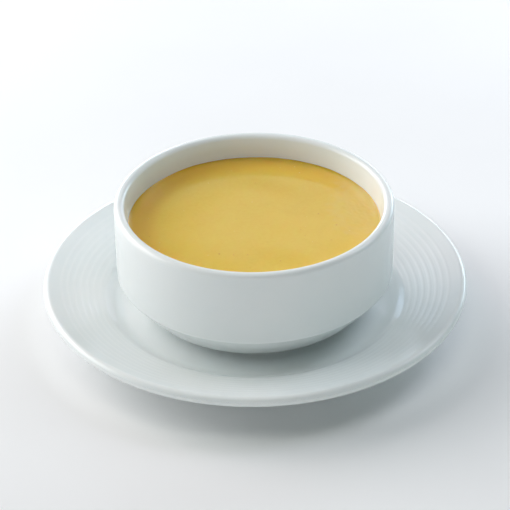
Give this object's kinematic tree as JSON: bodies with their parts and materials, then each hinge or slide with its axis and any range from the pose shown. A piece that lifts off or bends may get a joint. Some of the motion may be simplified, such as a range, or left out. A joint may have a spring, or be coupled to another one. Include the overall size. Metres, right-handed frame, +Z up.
{
  "type": "bowl of lentil soup",
  "caption": "Straight-sided white porcelain soup bowl with a tapered stacking base, filled with smooth yellow lentil soup, standing in the well of a saucer with a ringed rim.",
  "frame": {"origin": "on the table, under the middle of the saucer's foot ring", "axes": "+Z up along the common axis of saucer, bowl and soup; all three are turned forms, and -Y faces the viewer of the picture"},
  "size_m": [0.1848, 0.1848, 0.0573],
  "materials": {
    "saucer_porcelain": "glossy white glaze",
    "bowl_porcelain": "glossy white glaze",
    "lentil_soup": "smooth, moist, opaque yellow"
  },
  "bodies": {
    "root": {"saucer": "saucer_porcelain", "bowl": "bowl_porcelain", "soup": "lentil_soup"}
  },
  "joints": []
}
